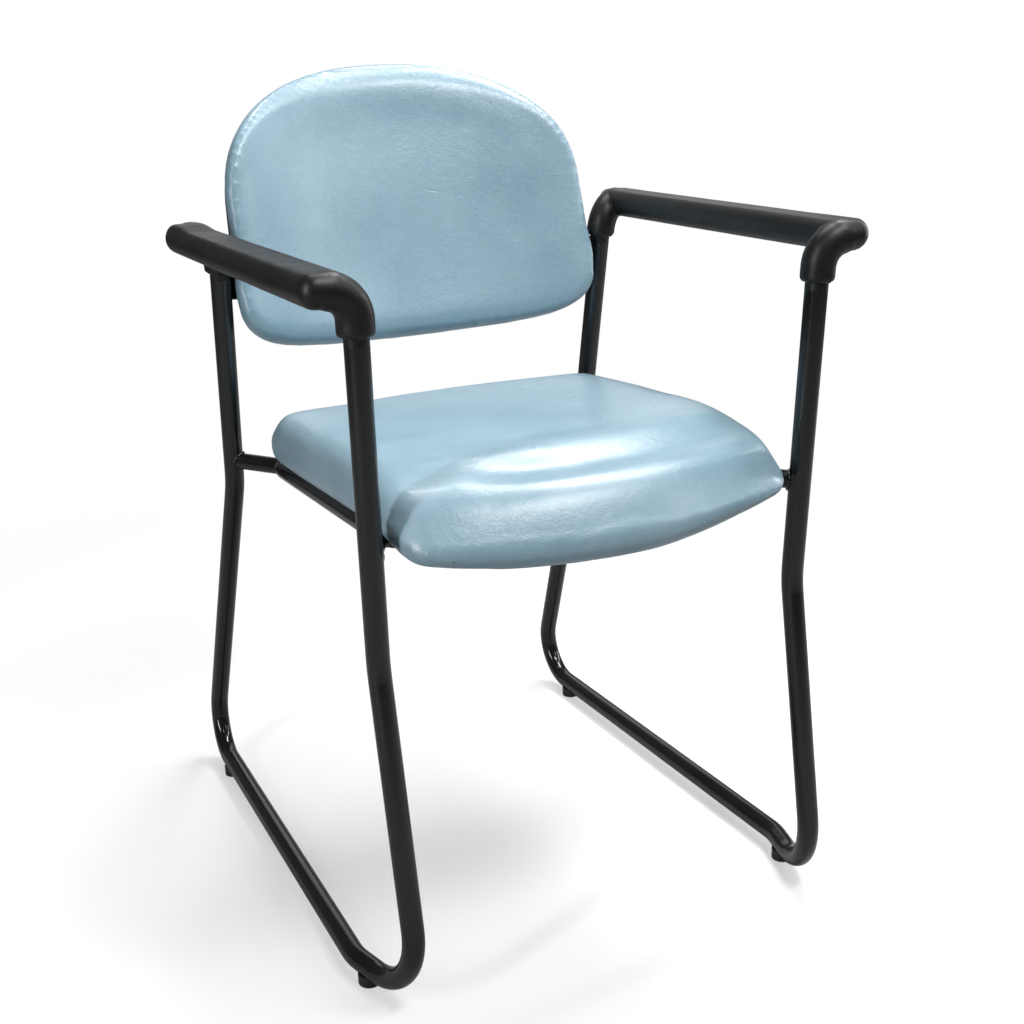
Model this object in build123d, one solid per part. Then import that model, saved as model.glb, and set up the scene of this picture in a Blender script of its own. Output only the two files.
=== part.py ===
from build123d import *
import os
from math import acos, cos, radians, sin, sqrt, tan

# Sled base visitor chair. Millimetres, +Z up, the sitter faces -Y.
# "left" and "right" are the sitter's own: left is +X.
# Every side piece is modelled once on the +X side and mirrored.

# ---- driving sizes ----
seatPadHalf = 205.0           # the side frames stand off from the pad's side
railZ = 442.9                 # height of the seat rail's centreline at y = 0
toeY = -345.1                 # front and rear floor bends of the runners
heelY = 345.1
seatPadFrontY = -369.0
seatPadRearY = 116.3

# ---- steel tube frame ----
tubeDia = 22.2
tubeWall = 1.6
postOutTopFront = 24.9        # tube centres outwards from the seat pad's side
postOutTopRear = 27.6
postOutKinkFront = 20.2
postOutKinkRear = 23.2
toeOut = 19.3
runnerOut = 48.3              # where the runner turns straight back
heelOut = 42.0
postTopFrontSet = 29.0        # the front posts' tops behind the toe
postTopRearSet = 231.0        # and the rear posts' tops ahead of the heel
kinkFrontSet = 50.2
kinkRearSet = 179.8
runnerKinkSet = 109.5         # toe to the kink in the runner
postTopFrontRise = 202.5      # above the seat rail
postTopRearRise = 212.7
kinkFrontDrop = 93.0          # below the seat rail
kinkRearDrop = 29.3
kinkFrontRadius = 120.0
toeRadius = 66.0
runnerKinkRadius = 70.0
heelRadius = 50.0
kinkRearRadius = 120.0

# ---- floor glides ----
glideDia = 23.0
glideLift = 8.0               # floor to the underside of the runner
glideWrap = 4.6               # how far the glide climbs the side of the runner
glidePinDia = 6.0
glideFrontSet = 23.4          # ahead of the kink in the runner
glideRearSet = 88.1           # ahead of the heel
glideEdge = 1.2

# ---- seat frame ----
seatTubeDia = 20.0
seatTubeWall = 1.5
outriggerDia = 18.6
railInset = 16.2              # rail centreline in from the seat pad's side
railFrontSet = 119.0          # front cross tube behind the pad's front
railRearSet = 7.7             # rear cross tube ahead of the pad's rear
railBend = 22.8
railStub = 1.0                # straight left on a rail past each of its bends
seatPitch = 1.86              # degrees, front edge up
outriggerFrontRise = 12.4     # where the outriggers meet the posts, above the rail
outriggerRearRise = -0.4
outriggerFrontReach = 30.0    # how far behind the front bend they meet the rail
rearReach = 0.30              # position of the rear joint round the rail's bend

# ---- seat pad ----
seatBoardThick = 12.0
seatBoardInset = 16.0         # in from the pad's side
seatBoardRearSet = 8.3        # in from the pad's rear
seatBoardBendSet = 107.0      # the board turns down this far behind the pad's front
seatBoardBend = 75.0
seatBoardBendAngle = 42.0
seatBoardCorner = 40.0
seatBoardBow = 18.0
seatPadThick = 60.0           # underside to the top
seatPadCrown = 1.5
seatPadNoseDrop = 30.5        # how far the nose hangs below the underside
seatPadNoseLift = 0.58        # share of that drop lost at the sides
seatPadRoll = 150.0           # length over which the top rolls down to the front
seatPadRearRun = 160.0        # length over which it falls to the rear
seatPadTrim = 3.0             # cut off flat along the underside, where it meets the board
seatPadEdge = 22.2            # width of the rounded side
seatPadSideFace = 0.25        # share of the thickness left at the very side
seatPadBow = 44.0             # the front edge's bow in plan
seatPadFrontCorner = 28.0
seatPadRearCorner = 42.0
seatPadRearRound = 26.0       # radius along the top rear edge
seatPadRearFall = 4.9         # how far the top falls towards the rear edge
dustCoverThick = 1.2
dustCoverMargin = 34.0        # rail centreline to the sheet's edge
seatScrewSet = 59.3           # screws in from the front and rear cross tubes
tabWide = 28.0                # steel tabs inside the rails, for the seat screws
tabReach = 30.0               # from the rail's centreline to the tab's end
tabThick = 3.0
tabLip = 5.0                  # how far short of the rail's centreline they stop
tabScrewSet = 20.0            # screw centres in from the rail's centreline

# ---- back pad ----
backRise = 42.4               # the back's reference point above the rear posts' tops
backTilt = 15.5
backRadius = 468.0            # plan curve of the moulded board
backArmRoom = 4.4             # pad's side to the arm's collar
backFlare = 0.042             # share by which the foot is wider and the top narrower
backBottom = 139.5            # reference point down to the lower edge
backTop = 172.8
backTopRound = 2.25           # superellipse exponent of the arched top
backLowerRound = 6.4          # and of the squarer bottom
backPadFront = 22.0           # reference surface forward to the pad's face
backPadRear = 14.0            # and back to the pad's rear
backPadEdge = 32.0
backPadSideFace = 0.25
backBoardThick = 10.0
backBoardInset = 16.0
backPadWrap = 6.0             # how deep the board is sunk into the pad
backPadHollow = 2.5           # how far the middle of the face is dished
shellThick = 4.0
shellInset = 5.0
shellRoom = 0.3
backScrewHalf = 70.0
backScrewRise = 8.5            # screws above and below the bar's middle

# ---- back bracket ----
bracketTall = 30.0
bracketThick = 6.0
bracketDrop = 10.1            # bar's end below the top of the rear post
bracketOverhang = 6.0
bracketBehind = 13.252         # post's centre back to the rear face of the bar's end

# ---- armrests ----
collarDia = 31.2
armBarWide = 42.5
armBarTall = 29.4
armOutFront = 27.8            # the bar's ends from the tops of the posts
armOutRear = 29.6
armFrontAhead = 5.9
armRearBehind = 10.9
armFrontRise = 48.8
armRearRise = 43.9
armBend = 27.0
armCrownFlat = 1.4            # taken off the crown of the bar
armElbowDrop = 1.0            # elbow's centreline below the bar's
plugBand = 8.5                # the ring of the plug left showing
plugTubeLength = 30.0
plugSocketLength = 26.0
plugSocketDia = 17.0

# ---- clearances and fasteners ----
spigotRoom = 0.15
socketRoom = 0.15
pinRoom = 0.2
padRoom = 0.3
screwDia = 5.8
screwHeadDia = 12.0
screwHeadTall = 3.6
threadRoom = 0.1
screwHoleRoom = 0.6
screwShort = 2.0              # a seat screw stops this far below the board's top
backScrewShort = 2.1          # and a back screw behind the board's front
headRoom = 0.1                # a back screw's head off the bent bar
nutBarrelDia = 8.4
nutFlangeDia = 19.0
nutFlangeThick = 1.4
nutRoom = 0.3
nutSink = 0.4                 # how far a nut's flange sits below the board's face
washerDia = 14.0
washerThick = 1.5


def bentPath(points, radii):
    # straight runs joined by tangent arcs, one radius for each inner point
    pts = [Vector(*p) for p in points]
    edges, here = [], pts[0]
    for i, bend in enumerate(radii):
        corner = pts[i + 1]
        back = (pts[i] - corner).normalized()
        on = (pts[i + 2] - corner).normalized()
        half = acos(max(-1.0, min(1.0, back.dot(on)))) / 2
        reach = bend / tan(half)
        middle = (back + on).normalized()
        centre = corner + middle * (bend / sin(half))
        start, stop = corner + back * reach, corner + on * reach
        edges.append(Line(here, start))
        edges.append(ThreePointArc(start, centre - middle * bend, stop))
        here = stop
    edges.append(Line(here, pts[-1]))
    return Wire([e.edge() for e in edges])


def rod(path, diameter):
    start = Plane(origin=path @ 0, z_dir=path % 0)
    return sweep(start * Circle(diameter / 2), path=path)


def between(a, b, diameter):
    # a round bar from point a to point b
    a, b = Vector(*a), Vector(*b)
    along = b - a
    return Plane(origin=a, z_dir=along) * Cylinder(
        diameter / 2, along.length, align=(Align.CENTER, Align.CENTER, Align.MIN))


def pointAt(low, high, height):
    # the point of the line low-high at a given height
    share = (height - low[2]) / (high[2] - low[2])
    return tuple(low[i] + (high[i] - low[i]) * share for i in range(3))


def mirrored(shape):
    return mirror(shape, about=Plane.YZ)


def group(shapes):
    return Compound([solid for shape in shapes for solid in shape.solids()])


pieces = {}

# ---- side frames: one bent tube each side ----
runnerZ = glideLift + tubeDia / 2
postTopFront = (seatPadHalf + postOutTopFront, toeY + postTopFrontSet, railZ + postTopFrontRise)
postTopRear = (seatPadHalf + postOutTopRear, heelY - postTopRearSet, railZ + postTopRearRise)
kinkFront = (seatPadHalf + postOutKinkFront, toeY + kinkFrontSet, railZ - kinkFrontDrop)
kinkRear = (seatPadHalf + postOutKinkRear, heelY - kinkRearSet, railZ - kinkRearDrop)
toe = (seatPadHalf + toeOut, toeY, runnerZ)
runnerKink = (seatPadHalf + runnerOut, toeY + runnerKinkSet, runnerZ)
heel = (seatPadHalf + heelOut, heelY, runnerZ)
framePath = bentPath(
    [postTopFront, kinkFront, toe, runnerKink, heel, kinkRear, postTopRear],
    [kinkFrontRadius, toeRadius, runnerKinkRadius, heelRadius, kinkRearRadius])
frameSolid = rod(framePath, tubeDia)
frameBore = rod(framePath, tubeDia - 2 * tubeWall)


def runnerHalfAt(y):
    # half spacing of the runner's centreline at a given y
    start, stop = (toe, runnerKink) if y < runnerKink[1] else (runnerKink, heel)
    share = (y - start[1]) / (stop[1] - start[1])
    return start[0] + (stop[0] - start[0]) * share


glideSpots = {"front": runnerKink[1] - glideFrontSet, "rear": heelY - glideRearSet}
pinHoles = [
    Pos(runnerHalfAt(y), y, 0) * Cylinder(
        glidePinDia / 2 + pinRoom, runnerZ, align=(Align.CENTER, Align.CENTER, Align.MIN))
    for y in glideSpots.values()]
sideFrame = frameSolid - frameBore - pinHoles
pieces["side_frame_left"] = sideFrame
pieces["side_frame_right"] = mirrored(sideFrame)

# ---- floor glides: a saddled foot with a pin up into the runner ----
for end, y in glideSpots.items():
    foot = Cylinder(glideDia / 2, glideLift + glideWrap,
                    align=(Align.CENTER, Align.CENTER, Align.MIN))
    foot = fillet(foot.edges().sort_by(Axis.Z)[0], glideEdge)
    foot = Pos(runnerHalfAt(y), y, 0) * foot - frameSolid
    pin = Pos(runnerHalfAt(y), y, glideLift / 2) * Cylinder(
        glidePinDia / 2, runnerZ - glideLift / 2, align=(Align.CENTER, Align.CENTER, Align.MIN))
    glide = foot + pin
    pieces[f"glide_{end}_left"] = glide
    pieces[f"glide_{end}_right"] = mirrored(glide)

# ---- seat frame: two bent rails, two cross tubes, four outriggers ----
pitch = radians(seatPitch)
seatPlane = Plane(origin=(0, 0, railZ), x_dir=(1, 0, 0), z_dir=(0, sin(pitch), cos(pitch)))


def seatPoint(x, y, up=0.0):
    return seatPlane.from_local_coords(Vector(x, y, up))


seatTubeRadius = seatTubeDia / 2
railHalf = seatPadHalf - railInset
railFrontY = seatPadFrontY + railFrontSet
railRearY = seatPadRearY - railRearSet
railEnd = railHalf - railBend - railStub
railPath = bentPath(
    [seatPoint(railEnd, railRearY), seatPoint(railHalf, railRearY),
     seatPoint(railHalf, railFrontY), seatPoint(railEnd, railFrontY)],
    [railBend, railBend])
railSolid = rod(railPath, seatTubeDia)
railBore = rod(railPath, seatTubeDia - 2 * seatTubeWall)
holeDia = screwDia + 2 * screwHoleRoom
screwHalf = railHalf - tabScrewSet
screwRows = {"front": railFrontY + seatScrewSet, "rear": railRearY - seatScrewSet}
nutSpots = [(side * screwHalf, y) for y in screwRows.values() for side in (1, -1)]
rail = railSolid - railBore
pieces["seat_rail_left"] = rail
pieces["seat_rail_right"] = mirrored(rail)

for end, y in {"front": railFrontY, "rear": railRearY}.items():
    left, right = seatPoint(railEnd, y), seatPoint(-railEnd, y)
    pieces[f"seat_cross_{end}"] = (between(left, right, seatTubeDia)
                                   - between(left, right, seatTubeDia - 2 * seatTubeWall))

for end, y in screwRows.items():
    tab = Pos(railHalf - tabLip, y, seatTubeRadius) * Box(
        tabReach - tabLip, tabWide, tabThick, align=(Align.MAX, Align.CENTER, Align.MAX))
    hole = Pos(screwHalf, y, 0) * Cylinder(holeDia / 2, 2 * seatTubeDia)
    tab = seatPlane * (tab - hole) - railSolid
    pieces[f"seat_tab_{end}_left"] = tab
    pieces[f"seat_tab_{end}_right"] = mirrored(tab)

bendShare = railBend * (1 - rearReach)
outriggerEnds = {
    "front": (pointAt(kinkFront, postTopFront, railZ + outriggerFrontRise),
              seatPoint(railHalf, railFrontY + outriggerFrontReach)),
    "rear": (pointAt(kinkRear, postTopRear, railZ + outriggerRearRise),
             seatPoint(railHalf - railBend * rearReach,
                       railRearY - railBend + bendShare)),
}
for end, (post, railEnd) in outriggerEnds.items():
    tube = between(post, railEnd, outriggerDia) - between(
        post, railEnd, outriggerDia - 2 * seatTubeWall)
    outrigger = tube - frameSolid - railSolid
    outrigger = outrigger.solids().sort_by(SortBy.VOLUME)[-1]
    pieces[f"seat_outrigger_{end}_left"] = outrigger
    pieces[f"seat_outrigger_{end}_right"] = mirrored(outrigger)

# ---- seat board: moulded ply that turns down at the front ----
boardLow = seatTubeRadius
boardHigh = boardLow + seatBoardThick
boardHalf = seatPadHalf - seatBoardInset
boardRearY = seatPadRearY - seatBoardRearSet
boardBendY = seatPadFrontY + seatBoardBendSet
bendAngle = radians(seatBoardBendAngle)


def boardProfile(low, high, rear, extra=0.0):
    # side profile in local (y, up), from the rear edge round the front bend
    centreUp = boardHigh - seatBoardBend
    outer, inner = high - centreUp, low - centreUp
    tip, half = bendAngle + extra / outer, (bendAngle + extra / outer) / 2

    def onArc(radius, angle):
        return (boardBendY - radius * sin(angle), centreUp + radius * cos(angle))

    edges = [
        Line((rear, low), (rear, high)),
        Line((rear, high), onArc(outer, 0)),
        ThreePointArc(onArc(outer, 0), onArc(outer, half), onArc(outer, tip)),
        Line(onArc(outer, tip), onArc(inner, tip)),
        ThreePointArc(onArc(inner, tip), onArc(inner, half), onArc(inner, 0)),
        Line(onArc(inner, 0), (rear, low)),
    ]
    return make_face(Wire([e.edge() for e in edges]))


# local frame whose x is the seat's y and whose y is the seat's up
profilePlane = Plane(origin=(0, 0, 0), x_dir=(0, 1, 0), z_dir=(1, 0, 0))


def acrossSeat(face, half):
    return extrude(profilePlane * face, amount=half, both=True)


def seatPlan(half, rear, front, corner, bow, tall):
    # plan outline with a bowed front edge, extruded up and down
    sideEnd = front + bow
    outline = Wire([e.edge() for e in [
        Line((-half, rear), (half, rear)),
        Line((half, rear), (half, sideEnd)),
        ThreePointArc((half, sideEnd), (0, front), (-half, sideEnd)),
        Line((-half, sideEnd), (-half, rear)),
    ]])
    block = extrude(make_face(outline), amount=tall, both=True)
    return fillet(block.edges().filter_by(Axis.Z), corner)


boardBlank = acrossSeat(boardProfile(boardLow, boardHigh, boardRearY), boardHalf)
boardFrontY = boardBendY - seatBoardBend * sin(bendAngle)
boardPlan = seatPlan(
    boardHalf, boardRearY, boardFrontY, seatBoardCorner, seatBoardBow, 2 * seatPadThick)
boardLocal = boardBlank & boardPlan
nutSeats = []
for x, y in nutSpots:
    barrel = Pos(x, y, boardLow) * Cylinder(
        nutBarrelDia / 2 + nutRoom, seatBoardThick, align=(Align.CENTER, Align.CENTER, Align.MIN))
    flange = Pos(x, y, boardHigh - nutFlangeThick - nutSink - nutRoom) * Cylinder(
        nutFlangeDia / 2 + nutRoom, seatBoardThick, align=(Align.CENTER, Align.CENTER, Align.MIN))
    nutSeats += [barrel, flange]
pieces["seat_board"] = seatPlane * (boardLocal - nutSeats)

# ---- pads: cross sections lofted from one side of the chair to the other ----
def padShare(distance, edge, sideFace):
    # how much of the full thickness is left this far in from the side
    t = max(0.0, 1 - distance / edge)
    return sideFace + (1 - sideFace) * sqrt(1 - t * t)


def cornerCut(inward, radius):
    # how far a rounded plan corner has come in at this distance from the side
    cut = max(0.0, radius - inward)
    return radius - sqrt(radius ** 2 - min(cut, radius) ** 2)


def padStations(half, edge, count):
    # stations close up towards the rounded side, so the loft stays smooth there
    near = [half - edge * (1 - cos(radians(angle))) for angle in (0, 22, 42, 58, 72, 84)]
    near += [half - edge * share for share in (1.12, 1.35, 1.8)]
    inner = [min(near) * i / count for i in range(1, count)]
    positive = inner + sorted(near)
    return [-x for x in reversed(positive)] + [0.0] + positive


def smoothLoop(corners, count):
    # rounds a closed polygon by cutting its corners, then spaces points evenly along it
    loop = list(corners)
    for _ in range(4):
        cut = []
        for i, (ax, ay) in enumerate(loop):
            bx, by = loop[(i + 1) % len(loop)]
            cut.append((ax * 0.75 + bx * 0.25, ay * 0.75 + by * 0.25))
            cut.append((ax * 0.25 + bx * 0.75, ay * 0.25 + by * 0.75))
        loop = cut
    steps = [sqrt((loop[i][0] - loop[i - 1][0]) ** 2 + (loop[i][1] - loop[i - 1][1]) ** 2)
             for i in range(len(loop))]
    total, walked, spaced, i = sum(steps), 0.0, [], 0
    for k in range(count):
        goal = total * k / count
        while walked + steps[(i + 1) % len(loop)] < goal:
            walked += steps[(i + 1) % len(loop)]
            i += 1
        a, b = loop[i % len(loop)], loop[(i + 1) % len(loop)]
        share = (goal - walked) / steps[(i + 1) % len(loop)]
        spaced.append((a[0] + (b[0] - a[0]) * share, a[1] + (b[1] - a[1]) * share))
    return spaced


def sectionFace(points):
    return make_face(Wire([Spline(*points, periodic=True).edge()]))


# ---- seat pad: foam in a fitted cover, wrapped round the board ----
padTop = boardLow + seatPadThick
padNose = boardLow - seatPadNoseDrop


def seatSection(x):
    inward = seatPadHalf - abs(x)
    across = abs(x) / seatPadHalf
    share = padShare(inward, seatPadEdge, seatPadSideFace)
    rear = seatPadRearY - cornerCut(inward, seatPadRearCorner)
    front = seatPadFrontY + seatPadBow * across ** 2 + cornerCut(inward, seatPadFrontCorner)
    low, high = boardLow, padTop + seatPadCrown * (1 - across ** 2)
    nose = padNose + seatPadNoseDrop * seatPadNoseLift * across ** 2
    tall, fall, roll, under = high - low, seatPadRearFall, seatPadRoll, low - seatPadTrim
    corners = [
        (rear, low + tall * 0.5), (rear, high - seatPadRearRound - fall),
        (rear - seatPadRearRound, high - fall), (rear - seatPadRearRun * 0.37, high - fall * 0.4),
        (rear - seatPadRearRun, high), (front + roll * 1.43, high), (front + roll, high),
        (front + roll * 0.57, high - tall * 0.13), (front + roll * 0.21, high - tall * 0.33),
        (front, high - tall), (front, nose + tall * 0.2), (front + roll * 0.01, nose),
        (front + roll * 0.15, nose), (front + roll * 0.37, nose + (low - nose) * 0.6),
        (front + roll * 0.66, under), (rear - seatPadRearRun, under),
        (rear - seatPadRearRound * 0.4, under), (rear, under + seatPadRearRound * 0.3)]
    loop = []
    for y, up in smoothLoop(corners, 40):
        reach = max(0.0, min(1.0, (y - front) / (roll * 0.87)))
        centre = (nose + tall * 0.57) * (1 - reach) + (low + tall * 0.49) * reach
        loop.append((x, y, centre + (up - centre) * share))
    return sectionFace(loop)


padLocal = loft([seatSection(x) for x in padStations(seatPadHalf, seatPadEdge, 5)])
boardPocket = acrossSeat(
    boardProfile(boardLow - seatBoardBend / 2, boardHigh + padRoom, boardRearY + padRoom, padRoom),
    boardHalf + padRoom) & seatPlan(
        boardHalf + padRoom, boardRearY + padRoom, boardFrontY - padRoom,
        seatBoardCorner, seatBoardBow, 2 * seatPadThick)
underside = Pos(0, boardBendY, boardLow) * Box(
    4 * seatPadHalf, 4 * seatPadHalf, seatPadThick, align=(Align.CENTER, Align.MIN, Align.MAX))
pieces["seat_pad"] = seatPlane * (padLocal - (boardPocket + underside))

# ---- dust cover: a thin sheet under the board, inside the seat frame ----
coverHalf = railHalf - dustCoverMargin
coverRear = railRearY - dustCoverMargin
coverFront = railFrontY + dustCoverMargin
coverBlank = Pos(0, (coverRear + coverFront) / 2, boardLow) * Box(
    2 * coverHalf, coverRear - coverFront, dustCoverThick,
    align=(Align.CENTER, Align.CENTER, Align.MAX))
pieces["seat_dust_cover"] = seatPlane * fillet(coverBlank.edges().filter_by(Axis.Z), railBend / 2)


# ---- seat fasteners: screws up through the tabs into nuts in the board ----
def screw(length):
    # a button head screw, its head's flat at 0 and its shank upwards
    head = Cylinder(screwHeadDia / 2, screwHeadTall, align=(Align.CENTER, Align.CENTER, Align.MAX))
    head = fillet(head.edges().sort_by(Axis.Z)[0], screwHeadTall * 0.55)
    socket = Pos(0, 0, -screwHeadTall) * extrude(
        RegularPolygon(screwDia * 0.36, 6), amount=screwHeadTall * 0.6)
    shank = Cylinder(screwDia / 2, length, align=(Align.CENTER, Align.CENTER, Align.MIN))
    return head - socket + shank


def teeNut(depth):
    # a nut with a barrel below its flange; the flange's top is at 0
    flange = Cylinder(nutFlangeDia / 2, nutFlangeThick,
                      align=(Align.CENTER, Align.CENTER, Align.MAX))
    barrel = Cylinder(nutBarrelDia / 2, depth, align=(Align.CENTER, Align.CENTER, Align.MAX))
    thread = Cylinder(screwDia / 2 + threadRoom, depth, align=(Align.CENTER, Align.CENTER, Align.MAX))
    return flange + barrel - thread


seatScrews, seatNuts, seatWashers = [], [], []
tabLow = boardLow - tabThick
for x, y in nutSpots:
    washer = Pos(x, y, tabLow) * (
        Cylinder(washerDia / 2, washerThick, align=(Align.CENTER, Align.CENTER, Align.MAX))
        - Cylinder(holeDia / 2, 4 * washerThick))
    bolt = Pos(x, y, tabLow - washerThick) * screw(
        washerThick + tabThick + seatBoardThick - screwShort)
    seatWashers.append(seatPlane * washer)
    seatScrews.append(seatPlane * bolt)
    seatNuts.append(seatPlane * Pos(x, y, boardHigh - nutSink) * teeNut(
        seatBoardThick - nutSink - nutRoom))
pieces["seat_washers"] = group(seatWashers)
pieces["seat_screws"] = group(seatScrews)
pieces["seat_tee_nuts"] = group(seatNuts)

# ---- back: a curved ply board in its pad, a rear shell and a steel bracket ----
tilt = radians(backTilt)
backHalf = postTopRear[0] - collarDia / 2 - backArmRoom
backMiddle = (backTop - backBottom) / 2
backReach = (backTop + backBottom) / 2
boardInner = backRadius + backPadRear - backPadWrap
boardOuter = boardInner + backBoardThick
shellInner = boardOuter + shellRoom
shellOuter = shellInner + shellThick
barInner = shellOuter
barOuter = barInner + bracketThick


def backCurve(x, radius):
    # how far a surface of this radius has come forward at x
    return sqrt(radius ** 2 - x ** 2) - backRadius


# the ends of the bracket's bar meet the posts, and the back stands on the bracket
backHeightZ = postTopRear[2] + backRise
barPost = pointAt(kinkRear, postTopRear, postTopRear[2] - bracketDrop)
bracketHalf = barPost[0] + bracketOverhang
barEnd = backCurve(bracketHalf, barOuter)
bracketUp = (barPost[2] - backHeightZ + barEnd * sin(tilt)) / cos(tilt)
backDepthY = barPost[1] + bracketBehind - bracketUp * sin(tilt) - barEnd * cos(tilt)
backPlane = Plane(origin=(0, backDepthY, backHeightZ), x_dir=(1, 0, 0),
                  z_dir=(0, cos(tilt), -sin(tilt)))
# in this frame x is lateral, -y is up along the back and z points to the rear


def backEnds(share):
    # lower and upper ends of the outline at this share of the half width
    high = backMiddle + backReach * (1 - share ** backTopRound) ** (1 / backTopRound)
    low = backMiddle - backReach * (1 - share ** backLowerRound) ** (1 / backLowerRound)
    return low, high


def flareAt(up):
    return 1 - backFlare * (up - backMiddle) / backReach


def backSection(x):
    share = padShare(backHalf - abs(x), backPadEdge, backPadSideFace)
    low, high = backEnds(min(abs(x) / backHalf, 0.996))
    front, rear = -backPadFront, backPadRear
    tall, middle = high - low, (high + low) / 2
    lip, inner, dish = tall * 0.025, tall * 0.12, tall * 0.25
    corners = [
        (low, front * 0.2), (low, front * 0.7), (low + lip, front), (low + inner, front),
        (middle - dish, front + backPadHollow), (middle + dish, front + backPadHollow),
        (high - inner, front),
        (high - lip, front), (high, front * 0.7), (high, front * 0.2), (high, rear * 0.5),
        (high - lip, rear), (high - inner, rear), (middle, rear), (low + inner, rear),
        (low + lip, rear), (low, rear * 0.5)]
    centre = (front + rear + backPadHollow) / 2
    loop = []
    for up, depth in smoothLoop(corners, 40):
        wide = x * flareAt(up)
        loop.append((wide, -up, backCurve(wide, backRadius) + centre + (depth - centre) * share))
    return sectionFace(loop)


def backOutline(inset, count=40):
    # closed outline in the back's plane: an arched top on a squarer foot
    half, reach, loop = backHalf - inset, backReach - inset, []
    for i in range(2 * count):
        angle = radians(180.0 * i / count)
        power = 2 / (backTopRound if i <= count else backLowerRound)
        across, rise = cos(angle), sin(angle)
        x = (1 if across >= 0 else -1) * half * abs(across) ** power
        up = backMiddle + (1 if rise >= 0 else -1) * reach * abs(rise) ** power
        loop.append((x * flareAt(up), -up))
    return make_face(Wire([Spline(*loop, periodic=True).edge()]))


def backSlab(inner, outer):
    # the space between two plan radii, over the whole height of the back
    tall = 3 * backReach
    axis = Pos(0, tall / 2, -backRadius) * Rot(90, 0, 0)
    ring = axis * (Cylinder(outer, tall, align=(Align.CENTER, Align.CENTER, Align.MIN))
                   - Cylinder(inner, tall, align=(Align.CENTER, Align.CENTER, Align.MIN)))
    return ring & Box(4 * backHalf, 2 * tall, 1.6 * backRadius)


def backPlate(inset, inner, outer):
    blank = extrude(backOutline(inset), amount=2 * backReach, both=True)
    return blank & backSlab(inner, outer)


backPadLocal = loft([backSection(x) for x in padStations(backHalf, backPadEdge, 5)])
backPocket = backPlate(backBoardInset - padRoom, boardInner - padRoom, boardOuter + backPadEdge)
pieces["back_pad"] = backPlane * (backPadLocal - backPocket)

backScrewSpots = [(side * backScrewHalf, bracketUp + rise * backScrewRise)
                  for side in (1, -1) for rise in (1, -1)]


def backSpot(x, up, radius):
    # a place on a curved surface, with +Z straight out of it to the rear
    outward = Vector(x, 0, sqrt(backRadius ** 2 - x ** 2)).normalized()
    foot = Vector(0, -up, -backRadius) + outward * radius
    return backPlane * Plane(origin=foot, x_dir=(0, -1, 0), z_dir=outward)


def drilled(shape, diameter):
    for x, up in backScrewSpots:
        shape = shape - backSpot(x, up, backRadius) * Cylinder(diameter / 2, 8 * backPadEdge)
    return shape


backBoard = backPlane * backPlate(backBoardInset, boardInner, boardOuter)
backBoard = drilled(backBoard, nutBarrelDia + 2 * nutRoom)
for x, up in backScrewSpots:
    recess = backSpot(x, up, boardInner + nutSink + nutFlangeThick + nutRoom) * Cylinder(
        nutFlangeDia / 2 + nutRoom, 2 * backBoardThick, align=(Align.CENTER, Align.CENTER, Align.MAX))
    backBoard = backBoard - recess
pieces["back_board"] = backBoard
pieces["back_shell"] = drilled(backPlane * backPlate(shellInset, shellInner, shellOuter), holeDia)

barBox = Pos(0, -bracketUp, 0) * Box(2 * bracketHalf, bracketTall, 4 * backRadius)
bar = backPlane * (backSlab(barInner, barOuter) & barBox)
bar = drilled(bar - frameSolid - mirrored(frameSolid), holeDia)
pieces["back_bracket"] = bar

backScrews, backNuts = [], []
screwReach = headRoom + bracketThick + shellThick + shellRoom + backBoardThick - backScrewShort
for x, up in backScrewSpots:
    backScrews.append(backSpot(x, up, barOuter + headRoom) * Rot(180, 0, 0) * screw(screwReach))
    backNuts.append(backSpot(x, up, boardInner + nutSink) * Rot(180, 0, 0) * teeNut(
        backBoardThick - nutSink - nutRoom))
pieces["back_screws"] = group(backScrews)
pieces["back_tee_nuts"] = group(backNuts)

# ---- armrests: a moulded arm on two plugs that fill the post tops ----
armFront = (postTopFront[0] + armOutFront, postTopFront[1] - armFrontAhead,
            postTopFront[2] + armFrontRise)
armRear = (postTopRear[0] + armOutRear, postTopRear[1] + armRearBehind,
           postTopRear[2] + armRearRise)


def postEnd(top, below):
    # the top of a post, with +Z along the post
    along = Vector(*top) - Vector(*below)
    return Plane(origin=top, z_dir=along)


def elbowBlank(post, knob):
    # collar up the post line, a bend outwards and a round end at the bar
    knob = (knob[0], knob[1], knob[2] - armElbowDrop)
    foot = post.from_local_coords(Vector(0, 0, plugBand))
    turn = post.from_local_coords(Vector(0, 0, (knob[2] - post.origin.Z) / post.z_dir.Z))
    path = bentPath([foot, turn, knob], [armBend])
    end = Plane(origin=path @ 1, z_dir=path % 1)
    return rod(path, collarDia) + end * Sphere(collarDia / 2, 0, 90)


def barBlank(a, b):
    # a bar of slot section with a flattened crown and both ends round
    a, b = Vector(*a), Vector(*b)
    radius, shift = armBarTall / 2, (armBarWide - armBarTall) / 2
    slot = SlotOverall(armBarWide, armBarTall)
    half = slot & Pos(0, radius, 0) * Rectangle(2 * armBarWide, 2 * radius)
    along = Plane(origin=a, x_dir=(1, 0, 0), z_dir=b - a)
    cap = revolve(half, Axis.X, 180)
    bar = extrude(slot, amount=(b - a).length)
    bar = bar + Rot(180, 0, 0) * cap + Pos(0, 0, (b - a).length) * cap
    flat = Pos(0, (-1 if along.y_dir.Z < 0 else 1) * (armBarTall - armCrownFlat), 0) * Box(
        2 * armBarWide, armBarTall, 4 * (b - a).length)
    return along * (bar - flat)


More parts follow.
